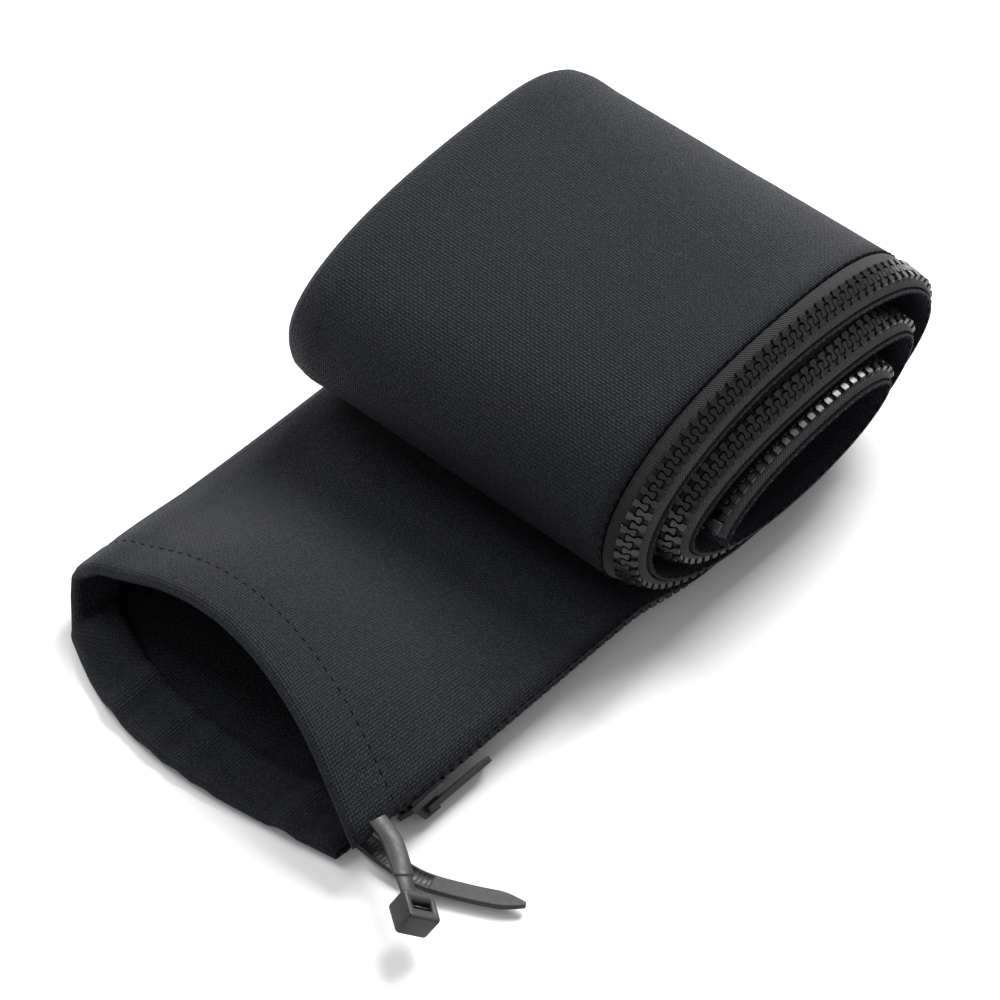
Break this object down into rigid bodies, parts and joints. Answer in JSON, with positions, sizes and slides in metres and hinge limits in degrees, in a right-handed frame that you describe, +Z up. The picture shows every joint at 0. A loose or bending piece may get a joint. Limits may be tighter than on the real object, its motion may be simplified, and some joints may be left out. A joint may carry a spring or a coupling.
{
  "type": "zippered cable sleeve",
  "caption": "Flat woven cable sleeve with a zip along one edge, loosely rolled, its open mouth hemmed round a threaded cable tie.",
  "frame": {"origin": "on the floor, on the underside of the free stretch, halfway across the sleeve", "axes": "+X along the roll towards the zip, +Y from the open mouth towards the roll, +Z up"},
  "size_m": [0.1479, 0.2217, 0.0634],
  "materials": {
    "woven_polyester": "plain woven, slightly sheeny black polyester",
    "zip_tape": "fine twill black tape",
    "moulded_teeth": "glossy black moulded acetal",
    "slider_metal": "dark grey satin enamel on a zinc casting",
    "tie_nylon": "satin black moulded nylon"
  },
  "bodies": {
    "sleeve": {"sleeve_fabric": "woven_polyester", "zip_tape_outer": "zip_tape", "zip_tape_inner": "zip_tape", "zip_teeth_outer": "moulded_teeth", "zip_teeth_inner": "moulded_teeth", "zip_slider": "slider_metal", "zip_end_stop": "moulded_teeth", "cable_tie": "tie_nylon"},
    "pull_tab": {"zip_pull_tab": "slider_metal"}
  },
  "joints": [
    {"name": "pull_tab_hinge", "type": "hinge", "parent": "sleeve", "child": "pull_tab", "pos_m": [0.05624, -0.024, 0.00278], "axis": [-0.5736, 0, -0.8192], "range_deg": [0, 120]}
  ]
}
